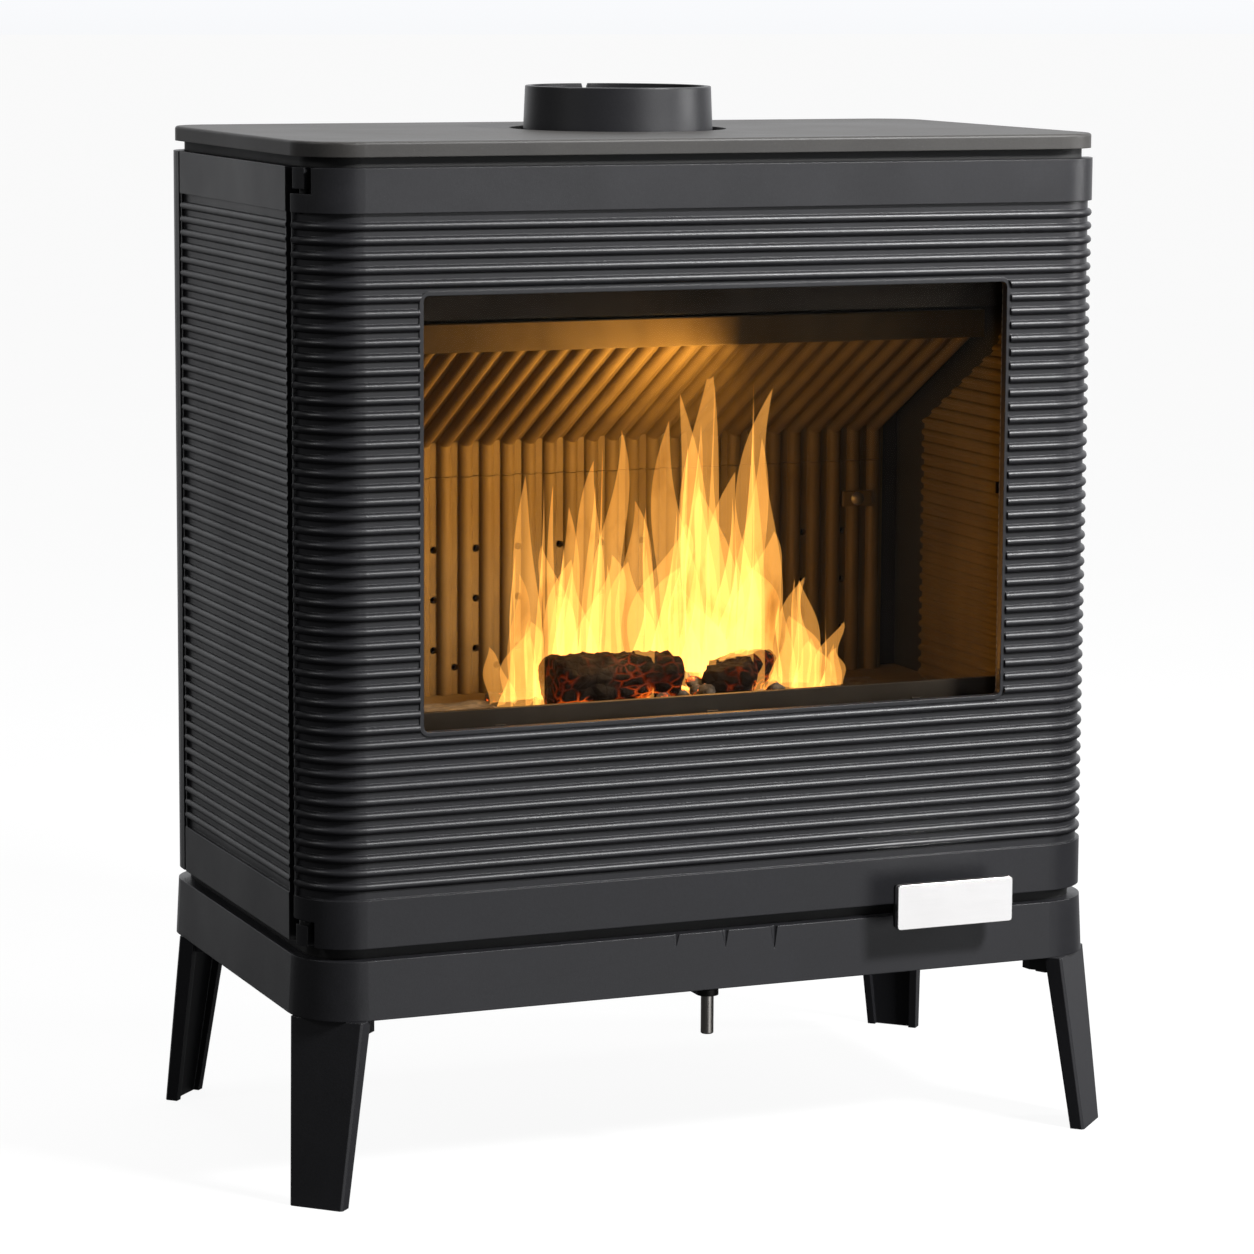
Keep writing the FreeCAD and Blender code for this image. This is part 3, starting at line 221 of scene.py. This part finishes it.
def charred_wood(name, glow):
    """Charred log: cracked black bark, grey ash and glowing cracks near the embers."""
    s = Shader(name)
    cracks = s.add("ShaderNodeTexVoronoi", {"Vector": s.place((70, 105, 105)), "Scale": 1.0},
                   feature="DISTANCE_TO_EDGE").outputs["Distance"]
    crack = s.spread(cracks, 0.0, 0.13, 1.0, 0.0)
    grain = s.noise(60, 5, 0.7, s.place((0.25, 1, 1)))
    ash = s.spread(s.noise(24, 5, 0.7), 0.55, 0.72)
    colour = s.ramp(grain, [(0.3, (0.002, 0.0015, 0.001)), (0.7, (0.012, 0.006, 0.003))])
    colour = s.add("ShaderNodeMix", {"Factor": s.math("MULTIPLY", ash, 0.12), 6: colour,
                                     7: (0.30, 0.27, 0.24, 1)}, data_type="RGBA").outputs[2]
    height = s.add("ShaderNodeSeparateXYZ", {"Vector": s.place()}).outputs["Z"]
    low = s.spread(height, HEARTH_Z + 0.012, HEARTH_Z + 0.03, 1.0, 0.12)
    hot = s.math("MULTIPLY", s.spread(s.noise(17, 4, 0.6), 0.5, 0.66), low)
    heat = s.math("MULTIPLY", s.math("MULTIPLY", crack, hot), glow)
    flame = s.ramp(heat, [(0.0, (0.5, 0.03, 0.0)), (0.5, (1.0, 0.22, 0.02)), (1.0, (1.0, 0.55, 0.12))])
    normal = s.bump([(cracks, 0.9, 0.004), (grain, 0.6, 0.002)])
    return s.finish(Base_Color=colour, Roughness=0.85, Normal=normal, Specular_IOR_Level=0.15,
                    Emission_Color=flame, Emission_Strength=s.math("MULTIPLY", heat, 4.0))


def ember():
    """Glowing charcoal: dark crust over orange heat."""
    s = Shader("ember")
    lump = s.noise(75, 4, 0.65)
    heat = s.spread(lump, 0.56, 0.74)
    colour = s.ramp(s.noise(120, 3), [(0.3, (0.02, 0.016, 0.014)), (0.7, (0.20, 0.18, 0.16))])
    flame = s.ramp(heat, [(0.0, (0.35, 0.01, 0.0)), (0.45, (1.0, 0.16, 0.01)), (1.0, (1.0, 0.62, 0.16))])
    return s.finish(Base_Color=colour, Roughness=0.9, Normal=s.bump([(lump, 0.9, 0.003)]),
                    Emission_Color=flame, Emission_Strength=s.math("MULTIPLY", heat, 5.0))


def ash_dust():
    """Grey ash bed."""
    s = Shader("ash_dust")
    lump = s.noise(110, 5, 0.7)
    colour = s.ramp(lump, [(0.3, (0.07, 0.06, 0.05)), (0.7, (0.30, 0.27, 0.24))])
    return s.finish(Base_Color=colour, Roughness=0.95, Normal=s.bump([(lump, 0.8, 0.002)]))


def flame_glow():
    """Flame sheet: bright core, orange edges, thinning to nothing at its outline."""
    s = Shader("flame_glow")
    place = s.add("ShaderNodeAttribute", attribute_name="flame").outputs["Vector"]
    parts = s.add("ShaderNodeSeparateXYZ", {"Vector": place}).outputs
    across, along, own = parts["X"], parts["Y"], parts["Z"]
    moved = s.add("ShaderNodeVectorMath", {0: s.place((15, 15, 6.5)), 1: place}, operation="ADD")
    shifted = moved.outputs["Vector"]
    wisp = s.noise(1.0, 5, 0.62, shifted, distortion=0.9)
    side = s.math("ABSOLUTE", across)
    edge = s.spread(side, 0.10, 0.98, 1.0, 0.0)
    rough_side = s.math("ADD", side, s.math("MULTIPLY", s.math("SUBTRACT", wisp, 0.5), 1.8))
    body = s.math("SUBTRACT", 1.0, rough_side)
    fade = s.spread(along, 0.30, 1.0, 1.0, 0.0)
    foot = s.spread(along, 0.0, 0.08, 0.2, 1.0)
    inner = s.math("MULTIPLY", s.spread(body, 0.12, 0.9), fade)
    density = s.math("MULTIPLY", inner, s.math("MULTIPLY", foot, edge))
    colour = s.ramp(density, [(0.0, (0.9, 0.14, 0.0)), (0.07, (1.0, 0.33, 0.025)), (0.28, (1.0, 0.56, 0.15)),
                              (0.5, (1.0, 0.80, 0.52))])
    strength = s.math("MULTIPLY", s.math("POWER", density, 1.9), s.spread(own, 0.0, 1.0, 13.0, 22.0))
    light = s.add("ShaderNodeEmission", {"Color": colour, "Strength": strength}).outputs["Emission"]
    clear = s.add("ShaderNodeBsdfTransparent").outputs["BSDF"]
    both = s.add("ShaderNodeAddShader", {0: light, 1: clear}).outputs["Shader"]
    s.tree.links.new(both, s.output.inputs["Surface"])
    return s.material


def dress_nodes():
    """Give every CAD node its detailed material."""
    body = cast_paint("body_paint", (0.012, 0.012, 0.0135), (0.024, 0.024, 0.028), (0.32, 0.46), level=0.5)
    looks = {
        "body_paint": body,
        # top_paint is the same cast paint as body_paint made about two and a half times lighter: a painted
        # sheen, the pale grazing reflection on the top plate painted into its colour.
        "top_paint": cast_paint("top_paint", (0.034, 0.032, 0.030), (0.060, 0.057, 0.053),
                                (0.42, 0.56), 0.8, 0.5),
        # recess_paint is the same cast paint as body_paint made darker: painted shade in the recesses.
        "recess_paint": cast_paint("recess_paint", (0.008, 0.008, 0.008), (0.018, 0.018, 0.018),
                                   (0.5, 0.65)),
        "fire_iron": fire_iron(),
        "sheet_steel": sheet_steel(),
        "bright_steel": brushed_steel("bright_steel", (0.36, 0.34, 0.31), (0.62, 0.59, 0.55),
                                      2, (0.22, 0.4), 0.0006),
        "brushed_plate": brushed_steel("brushed_plate", (0.82, 0.80, 0.78), (0.96, 0.945, 0.93),
                                       0, (0.16, 0.28), 0.0005),
        "dark_steel": cast_paint("dark_steel", (0.008, 0.008, 0.008), (0.02, 0.02, 0.02), (0.34, 0.5), 0.4),
        "fasteners": brushed_steel("fasteners", (0.16, 0.155, 0.15), (0.32, 0.31, 0.3),
                                   2, (0.35, 0.5), 0.0004),
        "fibre_seal": fibre(),
        "stove_glass": stove_glass(),
    }
    slot_of = {entry["node"]: entry["material_slot"] for entry in frame["record"]["subparts"]}
    for node, thing in frame["nodes"].items():
        thing.data.materials.clear()
        thing.data.materials.append(looks[slot_of[node]])


# ---------------------------------------------------------------- mesh helpers
def mesh_object(name, points, faces, material, smooth=True):
    """New object from points and faces."""
    mesh = bpy.data.meshes.new(name)
    mesh.from_pydata([tuple(p) for p in points], [], faces)
    mesh.materials.append(material)
    if smooth:
        mesh.polygons.foreach_set("use_smooth", [True] * len(mesh.polygons))
    thing = bpy.data.objects.new(name, mesh)
    bpy.context.scene.collection.objects.link(thing)
    return thing


def split_log(name, start, end, radius, material, seed):
    """Split log: a bark arc and two cleft faces, knotty along its length and cracked at its ends."""
    rng = random.Random(seed)
    start, end = Vector(start), Vector(end)
    along = (end - start).normalized()
    side = along.cross(Vector((0, 0, 1))).normalized()
    up = side.cross(along)
    rings, spokes = 44, 40
    turn = rng.uniform(0, math.tau)
    points = []
    for i in range(rings + 1):
        t = i / rings
        centre = start.lerp(end, t) + side * (0.004 * math.sin(5 * t + seed))
        end_pull = 1 - 0.16 * (abs(2 * t - 1) ** 14)
        for j in range(spokes):
            angle = math.tau * j / spokes
            facing = abs(math.cos((angle + turn) % (math.tau / 3) - math.tau / 6))
            cleft = min(1.0, 0.60 / max(0.25, facing) + 0.15)
            where = Vector((t * 9 + seed, math.cos(angle) * 2, math.sin(angle) * 2))
            knots = 1 + 0.16 * noise.fractal(where, 0.8, 2.2, 4)
            reach = radius * cleft * knots * end_pull
            points.append(centre + (side * math.cos(angle) + up * math.sin(angle)) * reach)
    faces = []
    for i in range(rings):
        for j in range(spokes):
            a, b = i * spokes + j, i * spokes + (j + 1) % spokes
            faces.append((a, b, b + spokes, a + spokes))
    for ring, centre, flip in ((0, start - along * 0.001, True), (rings, end + along * 0.001, False)):
        middle = len(points)
        points.append(centre)
        for j in range(spokes):
            a, b = ring * spokes + j, ring * spokes + (j + 1) % spokes
            faces.append((b, a, middle) if flip else (a, b, middle))
    return mesh_object(name, points, faces, material)


def lump(points, faces, centre, size, rng):
    """Add one rough piece of charcoal to a point and face list."""
    rings, spokes = 6, 9
    first = len(points)
    shift = Vector((rng.uniform(0, 50), rng.uniform(0, 50), 0))
    squash = Vector((rng.uniform(0.7, 1.3), rng.uniform(0.7, 1.3), rng.uniform(0.5, 0.9)))
    for i in range(rings + 1):
        polar = math.pi * i / rings
        for j in range(spokes):
            angle = math.tau * j / spokes
            way = Vector((math.sin(polar) * math.cos(angle), math.sin(polar) * math.sin(angle),
                          math.cos(polar)))
            reach = size * (1 + 0.5 * noise.noise(way * 1.4 + shift))
            points.append(centre + Vector(way * squash) * reach)
    for i in range(rings):
        for j in range(spokes):
            a, b = first + i * spokes + j, first + i * spokes + (j + 1) % spokes
            faces.append((a, b, b + spokes, a + spokes))


def ember_bed(material):
    """Heap of charcoal round and under the logs."""
    rng = random.Random(7)
    points, faces = [], []
    for _ in range(110):
        x = rng.gauss(0.025, 0.085)
        y = FIRE_Y + rng.gauss(0.015, 0.035)
        size = rng.uniform(0.003, 0.010)
        lift = max(0.0, 0.022 * (1 - abs(x - 0.03) / 0.16)) * rng.random()
        lump(points, faces, Vector((x, y, HEARTH_Z + size * 0.8 + lift)), size, rng)
    return mesh_object("ember_bed", points, faces, material)


def ash_bed(material):
    """Thin uneven layer of ash on the hearth."""
    points, faces = [], []
    columns, rows = 90, 44
    for j in range(rows + 1):
        for i in range(columns + 1):
            u, v = 2 * i / columns - 1, 2 * j / rows - 1
            x = 0.03 + 0.235 * u
            y = FIRE_Y + 0.02 + 0.085 * v
            edge = max(0.0, 1 - (abs(u) ** 3 + abs(v) ** 3))
            clumps = noise.fractal(Vector((x * 18, y * 18, 0)), 0.9, 2.0, 5)
            height = 0.011 * edge ** 0.6 * (0.75 + 0.6 * clumps)
            points.append((x, y, HEARTH_Z + 0.0006 + max(0.0, height)))
    for j in range(rows):
        for i in range(columns):
            a = j * (columns + 1) + i
            faces.append((a, a + 1, a + columns + 2, a + columns + 1))
    return mesh_object("ash_bed", points, faces, material)


def flame_sheet(points, faces, marks, foot, height, width, yaw, lean, rng):
    """Add one curling flame tongue; marks holds (across, along, own value) for its shader."""
    first = len(points)
    columns, rows = 12, 44
    phase = rng.uniform(0, math.tau)
    own = rng.random()
    sway = rng.uniform(0.10, 0.22) * width
    for j in range(rows + 1):
        v = j / rows
        half = 0.5 * width * (0.8 + 0.9 * v) * (1 - v) ** 0.95
        drift = lean * v ** 1.5 + sway * math.sin(phase + 6.5 * v) * v ** 0.8
        for i in range(columns + 1):
            u = 2 * i / columns - 1
            local_x = drift + u * half
            depth = 0.30 * width * (1 - u * u) * (1 - v) * (0.4 + 0.6 * math.sin(phase + 3 * v))
            x = foot.x + local_x * math.cos(yaw) - depth * math.sin(yaw)
            y = foot.y + local_x * math.sin(yaw) + depth * math.cos(yaw)
            points.append((x, y, foot.z + height * v))
            marks.append((u, v, own))
    for j in range(rows):
        for i in range(columns):
            a = first + j * (columns + 1) + i
            faces.append((a, a + 1, a + columns + 2, a + columns + 1))


def flames(material):
    """All flame tongues, tallest right of the middle, small ones at both ends."""
    rng = random.Random(21)
    tongues = [
        (0.075, 0.290, 0.062, -0.012), (0.102, 0.285, 0.060, 0.016), (0.112, 0.240, 0.056, 0.020),
        (0.060, 0.255, 0.056, -0.016), (0.042, 0.225, 0.056, -0.018), (0.010, 0.185, 0.056, -0.015),
        (-0.028, 0.220, 0.056, 0.016), (-0.046, 0.200, 0.052, 0.020), (-0.070, 0.180, 0.048, 0.008),
        (-0.080, 0.140, 0.048, -0.006), (-0.092, 0.185, 0.034, -0.006), (-0.108, 0.125, 0.032, -0.008),
        (-0.116, 0.055, 0.036, -0.020), (0.152, 0.098, 0.040, -0.002), (0.161, 0.104, 0.040, 0.006),
        (0.180, 0.064, 0.036, 0.010), (0.192, 0.034, 0.034, 0.008),
        (0.092, 0.185, 0.100, 0.004), (0.066, 0.200, 0.095, 0.0), (0.036, 0.160, 0.095, 0.0),
        (0.004, 0.130, 0.090, 0.0), (-0.030, 0.130, 0.085, 0.0), (-0.060, 0.115, 0.085, 0.0),
        (0.120, 0.135, 0.080, 0.0), (0.148, 0.075, 0.070, 0.0), (-0.092, 0.075, 0.055, -0.004),
        (0.104, 0.110, 0.090, 0.0), (0.050, 0.110, 0.090, 0.0), (0.172, 0.045, 0.050, 0.0),
    ]
    points, faces, marks = [], [], []
    for x, height, width, lean in tongues:
        for turn in (0.15, 1.2):
            foot = Vector((x + rng.uniform(-0.004, 0.004), FIRE_Y + rng.uniform(0.0, 0.04),
                           HEARTH_Z + 0.010))
            flame_sheet(points, faces, marks, foot, height * rng.uniform(0.9, 1.08), width,
                        turn + rng.uniform(-0.3, 0.3), lean, rng)
    thing = mesh_object("flames", points, faces, material)
    thing.visible_diffuse = False
    attribute = thing.data.attributes.new("flame", "FLOAT_VECTOR", "POINT")
    attribute.data.foreach_set("vector", [value for mark in marks for value in mark])
    return thing


def build_fire():
    """Logs, embers, ash and flames: what burns in the stove, standing on its hearth."""
    char = charred_wood("charred_wood", 1.0)
    low = HEARTH_Z + 0.034
    pieces = [
        split_log("log_front", (-0.094, FIRE_Y - 0.014, low), (0.022, FIRE_Y - 0.006, low - 0.003),
                  0.030, char, 3),
        split_log("log_right", (0.056, FIRE_Y - 0.040, low - 0.010), (0.118, FIRE_Y + 0.030, low - 0.006),
                  0.024, char, 8),
        ember_bed(ember()), ash_bed(ash_dust()), flames(flame_glow()),
    ]
    for piece in pieces:
        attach(piece, "stove_body")


# ---------------------------------------------------------------- stage, lights, camera
def build_stage():
    """Plain white floor that glows by itself, and a dim surround with bright patches behind and in front."""
    s = Shader("floor")
    colour = s.ramp(s.noise(3, 3), [(0.3, (0.10, 0.10, 0.10)), (0.7, (0.11, 0.11, 0.11))])
    material = s.finish(Base_Color=colour, Roughness=0.9, Specular_IOR_Level=0.0,
                        Emission_Color=(1, 1, 1, 1), Emission_Strength=0.93)
    size = 60.0
    floor = mesh_object("floor", [(-size, -size, 0), (size, -size, 0), (size, size, 0), (-size, size, 0)],
                        [(0, 1, 2, 3)], material, False)
    floor.visible_diffuse = False
    floor.visible_glossy = False

    world = bpy.data.worlds.new("studio")
    bpy.context.scene.world = world
    world.use_nodes = True
    links, nodes = world.node_tree.links, world.node_tree.nodes
    where = nodes.new("ShaderNodeTexCoord").outputs["Generated"]
    facing = nodes.new("ShaderNodeVectorMath")
    facing.operation = "DOT_PRODUCT"
    facing.inputs[1].default_value = Vector((0.40, 0.90, 0.16)).normalized()
    links.new(where, facing.inputs[0])
    patch = world_range(nodes, links, facing.outputs["Value"], 0.55, 0.88, 0.10, 1.0)
    front = nodes.new("ShaderNodeVectorMath")
    front.operation = "DOT_PRODUCT"
    front.inputs[1].default_value = Vector((0.39, -0.91, -0.14)).normalized()
    links.new(where, front.inputs[0])
    front_patch = world_range(nodes, links, front.outputs["Value"], 0.92, 0.99, 0.0, 1.2)
    height = nodes.new("ShaderNodeSeparateXYZ")
    links.new(where, height.inputs[0])
    upper = world_range(nodes, links, height.outputs["Z"], -0.35, 0.0, 0.15, 1.0)
    both = nodes.new("ShaderNodeMath")
    both.operation = "MULTIPLY"
    links.new(patch, both.inputs[0])
    links.new(upper, both.inputs[1])
    total = nodes.new("ShaderNodeMath")
    links.new(both.outputs["Value"], total.inputs[0])
    links.new(front_patch, total.inputs[1])
    links.new(total.outputs["Value"], nodes["Background"].inputs["Strength"])
    nodes["Background"].inputs["Color"].default_value = (0.97, 0.98, 1.0, 1)


def world_range(nodes, links, value, low, high, to_low, to_high):
    """Value moved from one range to another in the surround."""
    made = nodes.new("ShaderNodeMapRange")
    for key, number in (("From Min", low), ("From Max", high), ("To Min", to_low), ("To Max", to_high)):
        made.inputs[key].default_value = number
    links.new(value, made.inputs["Value"])
    return made.outputs["Result"]


def area_light(name, place, target, size, energy, colour=(1, 1, 1), spread=math.pi):
    """Soft lamp aimed at a point."""
    lamp = bpy.data.lights.new(name, "AREA")
    lamp.shape = "RECTANGLE"
    lamp.size, lamp.size_y = size
    lamp.energy = energy
    lamp.color = colour
    lamp.spread = spread
    thing = bpy.data.objects.new(name, lamp)
    bpy.context.scene.collection.objects.link(thing)
    thing.location = place
    thing.rotation_euler = (Vector(target) - Vector(place)).to_track_quat("-Z", "Y").to_euler()
    return thing


def build_lights():
    """High key from the front right, a soft top, a rim, a left fill, and the glow of the fire."""
    area_light("key", (1.35, -2.1, 2.35), (0.1, -0.15, 0.62), (0.6, 0.4), 135)
    area_light("top", (0.0, 0.35, 2.4), (0, 0, 0.8), (1.4, 0.8), 14)
    area_light("right_rim", (2.3, -0.75, 1.35), (0.33, -0.1, 0.5), (0.35, 1.4), 26)
    area_light("left_fill", (-2.4, -0.2, 2.0), (-0.36, 0, 0.6), (0.6, 0.6), 9)
    fire_low = HEARTH_Z + 0.07
    warm = (1.0, 0.58, 0.15)
    area_light("fire_to_left", (0.02, FRONT_Y + 0.07, fire_low + 0.15),
               (-0.27, FRONT_Y + 0.27, fire_low + 0.19),
               (0.12, 0.16), 1.9, warm)
    area_light("fire_to_right", (-0.02, FRONT_Y + 0.12, fire_low + 0.12),
               (0.31, FRONT_Y + 0.17, fire_low + 0.10),
               (0.10, 0.16), 0.3, warm)
    point = bpy.data.lights.new("fire_core", "POINT")
    point.energy = 0.06
    point.color = (1.0, 0.60, 0.22)
    point.shadow_soft_size = 0.06
    thing = bpy.data.objects.new("fire_core", point)
    thing.location = (0.05, FIRE_Y + 0.01, fire_low + 0.08)
    bpy.context.scene.collection.objects.link(thing)


def build_camera():
    """Long lens from the front left, a little above the top plate."""
    yaw, pitch, roll = 0.39515, -0.13882, 0.00559
    place = Vector((-1.42721, FRONT_Y - 3.21817, 0.99821))
    ahead = Vector((math.sin(yaw) * math.cos(pitch), math.cos(yaw) * math.cos(pitch), math.sin(pitch)))
    right = ahead.cross(Vector((0, 0, 1))).normalized()
    up = right.cross(ahead)
    right_rolled = right * math.cos(roll) + up * math.sin(roll)
    up_rolled = up * math.cos(roll) - right * math.sin(roll)
    lens = bpy.data.cameras.new("camera")
    lens.sensor_width = 36.0
    lens.lens = 123.09
    lens.shift_x = -0.0007
    lens.shift_y = -0.04545
    camera = bpy.data.objects.new("camera", lens)
    bpy.context.scene.collection.objects.link(camera)
    turn = Matrix((right_rolled, up_rolled, -ahead)).transposed()
    camera.matrix_world = Matrix.Translation(place) @ turn.to_4x4()
    bpy.context.scene.camera = camera


bpy.context.scene.view_settings.view_transform = "Standard"
dress_nodes()
build_fire()
build_stage()
build_lights()
build_camera()
